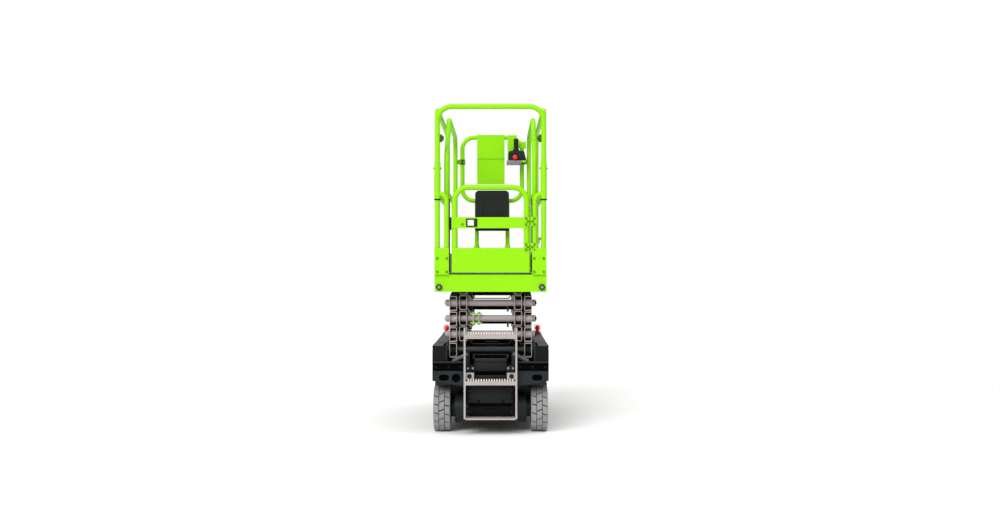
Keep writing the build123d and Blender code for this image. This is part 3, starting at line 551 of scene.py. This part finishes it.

# Ladder: two flat rails with folded treads and a lower step plate, in the warm grey coat of the arms.
# Each tread carries three rows of cut teeth that grip a boot, coloured near white as a painted
# highlight.
# The rails end in black rubber tips, matt and soft, and a large black bolt holds each bracket.
grey_satin = {"rough": 0.42, "specular": 0.3, "patch_mm": 220, "grain_mm": 4, "relief": 0.04}
grey = finish_of("warm_grey_powder_coat", "#A49B98", "#ADA4A1", **grey_satin)
dress(grey, "ladder")
ladder_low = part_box("ladder")[0]
ladder_y, ladder_z = ladder_low[1], ladder_low[2]
# Painted highlight: the teeth are coloured near white for the light on their top edges.
lit_tooth_coat = finish_of("tooth_painted_highlight", "#D9D2CE", "#E6DFDB", rough=0.40, specular=0.3,
                 patch_mm=40, grain_mm=3, relief=0.03)
tooth = block((-0.0040, ladder_y, -0.004), (0.0040, ladder_y + 0.005, 0.012), 0.0016, "tooth_pattern")
tooth_count = 18
tooth_pitch = 0.017
tread_tops = (0.6559, 0.351)
teeth = []
for z in tread_tops:
    for i in range(tooth_count):
        x = tooth_pitch * (i - (tooth_count - 1) / 2)
        for y in (0.0, 0.022, 0.044):
            teeth.append(stamp(tooth, Matrix.Translation((x, y, z))))
fix(join(teeth, "ladder_teeth"), "chassis", lit_tooth_coat)
step = block((-0.162, ladder_y + 0.046, ladder_z + 0.004), (0.162, ladder_y + 0.118, ladder_z + 0.008),
             0.001, "ladder_step")
fix(step, "chassis", grey)
rubber = finish_of("black_rubber", "#131313", "#1B1B1B", rough=0.70, specular=0.3,
                   patch_mm=40, grain_mm=2, relief=0.08)
tips = sides_of((0.161, ladder_y - 0.001, ladder_z - 0.024), (0.175, ladder_y + 0.052, ladder_z + 0.006),
                0.002, "ladder_tips")
fix(tips, "chassis", rubber)
big_washer = turned([(0.0155, 0), (0.0155, 0.002), (0.0145, 0.003)], 24, "big_washer")
big_head = turned([(0.0115, 0.003), (0.0115, 0.011), (0.0100, 0.0125), (0.0050, 0.0125)], 6, "big_head")
big_bolt = join([big_washer, big_head], "big_bolt_pattern")
ladder_bolts = copies(big_bolt, mirrored((0.137, ladder_y + 0.015, 0.383), rearward), "ladder_bolts")
fix(ladder_bolts, "chassis", black_oxide)

# Scissor arms: open-ended rectangular steel tube in the warm grey coat, pinned at ends and middle.
# Pins are kept by caps: black bolted ones on the right of the rear tubes, plain grey ones elsewhere.
# The lift bar and the lowest rear hubs are painted dark. The centre tubes stand in shade, painted on as
# dark grey.
base_pivot_z = 0.546
level_rise = 0.103
levels = range(1, 5)
rear_y = -0.735
arm_overhang = 0.0532
front_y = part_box("outer_arms_4")[1][1] - arm_overhang
middle_y = (rear_y + front_y) / 2


def pivot_z(k):
    """Gives the height of the rear pivot on top of level k, where 0 is the base shaft."""
    return base_pivot_z + level_rise * k


dress(grey, *(f"outer_arms_{k}" for k in levels[1:]))
arm_coat = finish_of("arm_coat_with_painted_shade_centre_tube", "#9A918E", "#A39A97", **grey_satin)
# Painted shade: the centre tube between the inner arms is coloured dark grey.
tint(arm_coat, "#242424", X=(-0.1568, 0.1568), Y=(middle_y - 0.03, middle_y + 0.03))
dress(arm_coat, *(f"inner_arms_{k}" for k in levels))
base_coat = finish_of("arm_coat_with_dark_lift_bar", "#A49B98", "#ADA4A1", **grey_satin)
tint(base_coat, "#1C1C1C", X=(-0.2225, 0.2225))
for hub_span in ((-0.2676, -0.2284), (0.2284, 0.2676)):
    tint(base_coat, "#202426", X=hub_span, Y=(rear_y - 0.045, rear_y + 0.028), Z=(0.506, 0.586))
dress(base_coat, "outer_arms_1")
keeper = turned([(0.0205, 0), (0.0205, 0.005), (0.0190, 0.007), (0.0120, 0.007), (0.0105, 0.012),
                 (0.0040, 0.013)], 24, "keeper_pattern")
middle_cap_x, front_cap_x, rear_cap_x = 0.2733, 0.278, 0.292
for k in levels:
    pale_spots = mirrored((middle_cap_x, middle_y, pivot_z(k) - level_rise / 2), (1, 0, 0))
    if k > levels[0]:
        pale_spots += mirrored((front_cap_x, front_y, pivot_z(k - 1)), (1, 0, 0))
    if k < levels[-1]:
        left_spot, right_spot = mirrored((rear_cap_x, rear_y, pivot_z(k)), (1, 0, 0))
        pale_spots.append(left_spot)
        black_cap = copies(keeper, [right_spot], f"tube_cap_{k}")
        fix(black_cap, f"inner_arms_{k}", black_oxide)
    fix(copies(keeper, pale_spots, f"pin_caps_{k}"), f"inner_arms_{k}", grey)

# Arm plugs: black plastic plates pressed into each arm's ends just past the pin, to keep dirt out.
# They are injection moulded in ABS and sit square in the bore.
plug_inset = 0.033
plug_step = 0.0023
plug_half = Vector((0.0205, 0.003, 0.0425))
for k in levels:
    for row, arm_x, rear_level, rise in (("outer", 0.248, k - 1, 1), ("inner", 0.182, k, -1)):
        rear_z = pivot_z(rear_level)
        plugs = []
        for y, z in ((rear_y + plug_inset, rear_z + rise * plug_step),
                     (front_y - plug_inset, rear_z + rise * (level_rise - plug_step))):
            middle = Vector((arm_x, y, z))
            plugs.append(sides_of(middle - plug_half, middle + plug_half, 0, "plug"))
        fix(join(plugs, f"arm_plugs_{row}_{k}"), f"{row}_arms_{k}", black_plastic)

# Cable duct: folded sheet covers on the inner left arms that carry the hoses and cables up the stack.
# Coated like the chassis and screwed to the inside of each inner arm. A bent strap crosses the lowest
# and the highest pair, and a short rest tab hangs from each tube between.
strap_y = (-0.712, -0.690)
for k in levels:
    duct = block((-0.156, -0.62, -0.020), (-0.134, 0.64, 0.020), 0.004, f"cable_duct_{k}")
    for vertex in duct.data.vertices:
        vertex.co.z += pivot_z(k) - level_rise * (vertex.co.y - rear_y) / (front_y - rear_y)
    fix(duct, f"inner_arms_{k}", charcoal)
# The lowest strap takes the umber with painted shade. The highest is drawn black, as painted shade under
# the deck.
for k, drop, coat in ((1, 0.028, umber), (4, 0.034, black_coat)):
    z = pivot_z(k) - drop
    strap = []
    for side in (-1, 1):
        run = block((-0.003, strap_y[0], -0.024), (0.003, strap_y[1], 0.024), 0.001, "strap")
        lean = Matrix.Rotation(side * radians(40), 4, "Y")
        run.data.transform(Matrix.Translation((side * 0.134, 0, z - 0.022)) @ lean)
        strap.append(run)
    strap.append(block((-0.120, strap_y[0], z - 0.043), (0.120, strap_y[1], z - 0.037), 0.001, "strap"))
    strap.append(sides_of((0.148, strap_y[0], z - 0.006), (0.158, strap_y[1], z), 0.001, "strap"))
    fix(join(strap, f"cable_strap_{k}"), f"inner_arms_{k}", coat)
for k in (2, 3):
    z = pivot_z(k)
    tab = block((0.108, rear_y - 0.006, z - 0.058), (0.120, rear_y + 0.006, z - 0.018), 0.002,
                f"rest_tab_{k}")
    fix(tab, f"inner_arms_{k}", black_oxide)

# Safety prop clamp: two lime plates and four spacer bolts round the second rear tube up.
# Plates are laser-cut and powder coated like the platform, a clear satin lime. The spacers are grey.
lime_satin = {"rough": 0.42, "specular": 0.12, "patch_mm": 300, "grain_mm": 4, "relief": 0.03}
lime = finish_of("lime_powder_coat", "#8CD70C", "#91DB10", **lime_satin)
clamp_z = pivot_z(2)
plates = []
for z in (clamp_z - 0.029, clamp_z + 0.029):
    plates.append(block((-0.136, rear_y - 0.034, z - 0.004), (-0.058, rear_y + 0.034, z + 0.004),
                        0.002, "plate"))
fix(join(plates, "prop_clamp_plates"), "inner_arms_2", lime)
spacer = turned([(0.0085, -0.042), (0.0085, -0.034), (0.0060, -0.033), (0.0060, 0.033),
                 (0.0085, 0.034), (0.0085, 0.042)], 12, "spacer_pattern")
spacer_spots = [((x, rear_y + y, clamp_z), upward) for x in (-0.115, -0.078) for y in (-0.028, 0.028)]
fix(copies(spacer, spacer_spots, "prop_clamp_bolts"), "inner_arms_2", grey)

# Lift cylinder: a barrel coated with the chassis, and a hard-chromed rod with a dark painted eye.
# Chrome is ground and polished, so it mirrors the studio.
chrome = finish_of("hard_chrome", "#BFC2C4", "#CBCED0", rough=0.10, specular=0.5,
                   patch_mm=80, grain_mm=5, relief=0.0, metal=1.0)
eye_radius = 0.038
paint_reach = 0.040
eye_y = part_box("lift_rod")[0][1] + eye_radius
tint(chrome, "#1A1C1E", Y=(eye_y - paint_reach, eye_y + paint_reach))
dress(chrome, "lift_rod")

# Platform: lime coated deck frame, posts, hoop and side rails, welded up from tube and folded sheet.
# The lower posts end in sleeves that hold the hoop, each locked by a cross pin, with a black ring at its
# foot that is painted shade. Fasteners are painted over with the frame and drawn a darker lime, as
# painted shade.
deck_lime = finish_of("lime_coat_with_painted_shade_underside", "#8CD70C", "#91DB10", **lime_satin)
# Painted shade: the deck's underside is coloured dark grey.
tint(deck_lime, "#3C3C3C", X=(-0.356, 0.356), Y=(-0.838, 0.90), Z=(0.88, 1.0435))
dress(deck_lime, "platform_deck")
dress(lime, "rear_posts", "rear_hoop", "side_rail_left", "side_rail_right", "gate", "gate_hinges",
      "slide_rail_left", "slide_rail_right", "front_ring", "sign_panel", "control_bracket")
dress(rubber, "bumper_pads")
fastener_satin = {"rough": 0.42, "specular": 0.2, "patch_mm": 30, "grain_mm": 3, "relief": 0.03}
# Painted shade: fasteners, pins, clamps and the tie eye are coloured a darker lime than the frame.
shaded_fastener_lime = finish_of("lime_fastener_with_painted_shade", "#5A8A14", "#659A18", **fastener_satin)
small_washer = turned([(0.0085, 0), (0.0085, 0.0014), (0.0078, 0.0020)], 18, "small_washer")
small_head = turned([(0.0066, 0.002), (0.0066, 0.0068), (0.0056, 0.0078), (0.0028, 0.0078)],
                    6, "small_head")
small_bolt = join([small_washer, small_head], "small_bolt_pattern")
plate_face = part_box("rear_posts")[0][1]
corner_spots = []
for x in (0.348, 0.286):
    for z in (1.150, 1.062):
        corner_spots += mirrored((x, plate_face, z), rearward)
fix(copies(small_bolt, corner_spots, "corner_bolts"), "platform", shaded_fastener_lime)
post_x, post_y = 0.3483, -0.85
pin = turned([(0.0046, -0.0275), (0.0046, -0.0215), (0.0034, -0.0215), (0.0034, 0.0205),
              (0.0064, 0.0205), (0.0064, 0.0265), (0.0040, 0.0275)], 12, "pin_pattern")
pin_spots = mirrored((post_x, post_y, 1.740), (-1, 0, 0))
fix(copies(pin, pin_spots, "sleeve_pins"), "platform", shaded_fastener_lime)
# Painted shade: a thin black ring at each sleeve's foot stands for the shade line in the joint.
sleeve_shade_ring = turned([(0.0188, 0), (0.0208, 0.001), (0.0208, 0.010), (0.0195, 0.011)], 28, "gasket_pattern")
sleeve_shade_ring_spots = mirrored((post_x, post_y, 1.5305), upward)
fix(copies(sleeve_shade_ring, sleeve_shade_ring_spots, "sleeve_gaskets"), "platform", rubber)
pad_low, pad_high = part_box("bumper_pads")
pad_z = (pad_low[2] + pad_high[2]) / 2
button = turned([(0.0105, 0), (0.0105, 0.004), (0.0085, 0.006), (0.0040, 0.006)], 20, "button_pattern")
pad_spots = mirrored((0.337, pad_low[1], pad_z), rearward)
fix(copies(button, pad_spots, "bumper_bolts"), "platform", steel)
# Hoop brackets: small plates on the hoop, coloured a near black lime as painted shade.
hoop_plates = [sides_of((0.316, -0.858, 1.912), (0.334, -0.842, 1.962), 0.002, "hoop_plate"),
               sides_of((0.306, -0.853, 1.922), (0.320, -0.847, 1.952), 0.002, "hoop_plate")]
painted_shade_bracket_lime = finish_of("lime_bracket_with_painted_shade", "#2C4A08", "#36580C", **fastener_satin)
fix(join(hoop_plates, "hoop_brackets"), "platform", painted_shade_bracket_lime)

# Gate: bent tube frame with a middle plate, kick plate, and two hinges bolted on the right.
# Each hinge has a steel leaf on the gate and one on the post, coated lime and held by three bolts.
# The latch is a black moulded frame in the middle plate's window, with one bolt beside it.


def hinge_half(x_span, face, pair_x, middle_x):
    """Draws one half of both hinges, and gives its leaves and the places of their bolts."""
    outer_face = face - leaf_thick
    leaves = []
    for z0, z1 in ((1.200, 1.246), (1.366, 1.418)):
        leaves.append(block((x_span[0], outer_face, z0), (x_span[1], face, z1), 0.001, "leaf"))
    spots = [((pair_x, outer_face, z), rearward) for z in (1.207, 1.240, 1.373, 1.411)]
    spots += [((middle_x, outer_face, z), rearward) for z in (1.2235, 1.392)]
    return leaves, spots


gate_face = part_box("gate")[0][1]
window_z = (1.3560, 1.4100)
window_bars = [(-0.1600, -0.1505, *window_z), (-0.1090, -0.0870, *window_z),
               (-0.1520, -0.1080, window_z[0], 1.3640), (-0.1520, -0.1080, 1.4020, window_z[1])]
window = [block((x0, gate_face - 0.006, z0), (x1, gate_face + 0.020, z1), 0.002, "window")
          for x0, x1, z0, z1 in window_bars]
fix(join(window, "latch_frame"), "gate", black_plastic)
gate_leaves, gate_spots = hinge_half((0.216, 0.2525), -0.8703, pair_x=0.232, middle_x=0.243)
fix(join(gate_leaves, "gate_hinge_leaves"), "gate", lime)
gate_spots.append(((-0.184, gate_face, 1.372), rearward))
fix(copies(small_bolt, gate_spots, "gate_bolts"), "gate", shaded_fastener_lime)
post_leaves, post_spots = hinge_half((0.266, 0.303), -0.8650, pair_x=0.287, middle_x=0.275)
fix(join(post_leaves, "post_hinge_leaves"), "platform", lime)
fix(copies(small_bolt, post_spots, "post_hinge_bolts"), "platform", shaded_fastener_lime)

# Gate stops: black rubber strips along both gate posts, and a black block at the latch's height.
# They are painted shade in the gaps beside the gate, cut away at the hinges and kept out of the gate
# tube's swing.
gap_shade_strips = [block((-0.2735, -0.856, 1.336), (-0.2560, -0.832, 1.420), 0.002, "stop"),
         block((-0.2735, -0.854, 1.060), (-0.2660, -0.838, 1.540), 0.001, "stop")]
for z0, z1 in ((1.060, 1.196), (1.250, 1.362), (1.422, 1.540)):
    gap_shade_strips.append(block((0.2670, -0.858, z0), (0.2735, -0.846, z1), 0.001, "stop"))
fix(join(gap_shade_strips, "gate_stops"), "platform", rubber)

# Tie-off ring: a forged steel ring in a welded eye on the right post, for a harness.
# The ring hangs loose in life and is drawn at rest, zinc plated.
ring = spun([(-0.0030, 0.0130), (0.0, 0.0115), (0.0030, 0.0130), (0.0, 0.0160)], 32, "ring_pattern")
tie_ring = copies(ring, [((0.318, -0.846, 1.262), upward)], "tie_ring")
fix(tie_ring, "platform", steel)
eye_plate = block((0.316, -0.853, 1.270), (0.336, -0.839, 1.288), 0.002, "tie_eye")
fix(eye_plate, "platform", shaded_fastener_lime)

# Extension deck: a steel plate rolled with raised lozenges, left in a plain grey coat.
# The lozenges are real relief, turned left and right in turn, at the usual spacing of about 30 mm.
deck_coat = finish_of("grey_deck_coat", "#858A88", "#949997", rough=0.50, specular=0.4,
                      patch_mm=90, grain_mm=4, relief=0.06)
dress(deck_coat, "extension_deck")
lozenge = turned([(0.0100, 0), (0.0078, 0.0016), (0.0030, 0.0020)], 8, "lozenge_pattern")
slimness = 0.36
for vertex in lozenge.data.vertices:
    vertex.co.x *= slimness
first_x, first_y, deck_z = -0.256, -0.79, 1.053
step_x, step_y = 0.032, 0.031
lozenges = []
for row in range(50):
    for column in range(17):
        place = Matrix.Translation((first_x + step_x * column, first_y + step_y * row, deck_z))
        turn = radians(45 if (row + column) % 2 else -45)
        lozenges.append(stamp(lozenge, place @ Matrix.Rotation(turn, 4, "Z")))
fix(join(lozenges, "deck_lozenges"), "extension", deck_coat)

# Front ring fittings: cone feet welded round both legs, and clamps that tie the ring to the side rails.
# The clamps are cut from plate, drawn in the darker lime of painted shade, and closed by two black bolts
# each.
ring_radius = 0.017
clamp_half = 0.0205
ring_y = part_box("front_ring")[1][1] - ring_radius
clamp_face = ring_y - clamp_half
leg_foot = turned([(0.0330, 0), (0.0310, 0.006), (0.0180, 0.066), (0.0165, 0.072)],
                  28, "leg_foot_pattern")
leg_spots = mirrored((0.1219, ring_y, 1.202), upward)
fix(copies(leg_foot, leg_spots, "leg_feet"), "extension", lime)
clamps = [sides_of((0.2130, clamp_face, 1.902), (0.2590, ring_y + clamp_half, 1.944), 0.003, "clamp"),
          sides_of((0.2570, ring_y - 0.0050, 1.908), (0.2690, ring_y + 0.0150, 1.938), 0.002, "clamp")]
fix(join(clamps, "ring_clamps"), "extension", shaded_fastener_lime)
clamp_spots = []
for z in (1.912, 1.934):
    clamp_spots += mirrored((0.236, clamp_face, z), rearward)
fix(copies(small_bolt, clamp_spots, "ring_clamp_bolts"), "extension", black_oxide)

# Document box: a black moulded case with a hinged lid, held by the front ring's legs.
# It is injection moulded in matt ABS. A shallow rib frames its field, and a longer one marks the lid.
dress(black_plastic, "document_box", "control_box", "joystick")
case_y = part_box("document_box")[0][1]
field_half = 0.075
rib = 0.004
case = [block((-0.1330, case_y - 0.001, 1.644), (0.1330, case_y + 0.060, 1.644 + rib), 0.001, "rib")]
for x0, x1, z0, z1 in ((-field_half, field_half, 1.500, 1.504), (-field_half, field_half, 1.620, 1.624),
                       (-field_half, rib - field_half, 1.500, 1.624),
                       (field_half - rib, field_half, 1.500, 1.624)):
    case.append(block((x0, case_y - 0.0025, z0), (x1, case_y + 0.002, z1), 0.001, "rib"))
fix(join(case, "document_box_ribs"), "extension", black_plastic)

# Control station: moulded box on a grey sheet tray, with a red stop button in a black collar and a
# small switch. The joystick stands in a ribbed rubber boot. The tray is bent sheet in a satin coat.
tray_grey = finish_of("mid_grey_coat", "#77757C", "#828087", rough=0.45, specular=0.3,
                      patch_mm=60, grain_mm=4, relief=0.04)
dress(red, "stop_button")
low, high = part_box("control_box")
tray = block((0.113, low[1] - 0.020, low[2] - 0.030), (0.230, high[1] - 0.004, low[2] - 0.001),
             0.002, "control_tray")
fix(tray, "extension", tray_grey)
stop_low, stop_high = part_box("stop_button")
stop_x = (stop_low[0] + stop_high[0]) / 2
stop_z = (stop_low[2] + stop_high[2]) / 2
collar = turned([(0.0225, 0), (0.0225, 0.003), (0.0205, 0.005), (0.0140, 0.005)], 28, "collar_pattern")
stop_collar = copies(collar, [((stop_x, low[1], stop_z), rearward)], "stop_collar")
fix(stop_collar, "extension", black_plastic)
dome = turned([(0.0184, 0), (0.0184, 0.002), (0.0155, 0.006), (0.0085, 0.008), (0.0030, 0.0084)],
              28, "dome_pattern")
stop_dome = copies(dome, [((stop_x, stop_low[1], stop_z), rearward)], "stop_dome")
fix(stop_dome, "extension", red)
knob = turned([(0.0080, 0), (0.0080, 0.006), (0.0060, 0.010), (0.0025, 0.011)], 16, "knob_pattern")
switch = copies(knob, [((stop_x + 0.042, low[1], stop_z - 0.004), rearward)], "control_switch")
fix(switch, "extension", black_plastic)
stick_low, stick_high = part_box("joystick")
stick_x = (stick_low[0] + stick_high[0]) / 2
stick_y = (stick_low[1] + stick_high[1]) / 2
boot = turned([(0.0300, 0), (0.0285, 0.004), (0.0290, 0.006), (0.0250, 0.010), (0.0256, 0.012),
               (0.0215, 0.016), (0.0180, 0.021)], 28, "boot_pattern")
joystick_boot = copies(boot, [((stick_x, stick_y, stick_low[2]), upward)], "joystick_boot")
fix(joystick_boot, "extension", rubber)

# Patterns: each bolt, cap, lens or tyre that repeats was drawn once, and every use has its own copy.
# The drawn ones stand at the origin inside the part, so they are taken out.
for pattern in [piece for piece in bpy.data.objects if piece.name.endswith("_pattern")]:
    bpy.data.objects.remove(pattern, do_unlink=True)

# Studio: a wide pale floor that fades to white, a white surround and two soft suns, one from behind
# the camera. The surround lights the part less than it shows, so that tubes keep their shading.
bpy.ops.object.select_all(action="DESELECT")
bpy.ops.mesh.primitive_plane_add(size=200, location=(0, 0, 0))
floor = bpy.context.object
floor.name = "studio_floor"
pale = finish_of("pale_floor", "#F6F6F5", "#F8F8F7", rough=0.9, specular=0.1,
                 patch_mm=4000, grain_mm=900, relief=0.0)
tree = pale.node_tree
spot = add_node(tree, "ShaderNodeTexCoord", {})
reach = add_node(tree, "ShaderNodeVectorMath", {"operation": "LENGTH"}, [(spot, "Object", 0)])
fade = add_node(tree, "ShaderNodeMapRange",
                {"interpolation_type": "SMOOTHSTEP", "From Min": 1.6, "From Max": 5.5},
                [(reach, "Value", "Value")])
glow = add_node(tree, "ShaderNodeEmission", {"Color": linear("#FFFFFF"), "Strength": 1.0})
both = add_node(tree, "ShaderNodeMixShader", {},
                [(fade, "Result", 0), (tree.nodes["Principled BSDF"], "BSDF", 1), (glow, "Emission", 2)])
tree.links.new(both.outputs[0], tree.nodes["Material Output"].inputs["Surface"])
floor.data.materials.append(pale)
world = bpy.data.worlds.new("white_surround")
bpy.context.scene.world = world
world.use_nodes = True
tree = world.node_tree
ray = add_node(tree, "ShaderNodeLightPath", {})
shown = add_node(tree, "ShaderNodeMapRange", {"To Min": 0.45, "To Max": 1.0},
                 [(ray, "Is Camera Ray", "Value")])
tree.nodes["Background"].inputs["Color"].default_value = linear("#FFFFFF")
tree.links.new(shown.outputs["Result"], tree.nodes["Background"].inputs["Strength"])
for name, way, power, spread in (("key_sun", (0.45, 1.0, -0.75), 2.3, 40),
                                 ("top_sun", (-0.15, 0.1, -1.0), 1.3, 60)):
    bpy.ops.object.light_add(type="SUN", location=(0, 0, 9))
    lamp = bpy.context.object
    lamp.name = name
    lamp.data.energy = power
    lamp.data.angle = radians(spread)
    lamp.rotation_euler = Vector(way).to_track_quat("-Z", "Y").to_euler()
bpy.context.scene.view_settings.view_transform = "Standard"

# Camera: level, behind the ladder end, a little right of the middle, 7.95 m from the rear rails.
# Its lens and place were matched to the photograph's widths near and far.
bpy.ops.object.camera_add(location=(0.062, -8.80, 1.10), rotation=(pi / 2, 0, 0))
camera = bpy.context.object
camera.data.sensor_width = 36.0
camera.data.lens = 43.67
bpy.context.scene.camera = camera
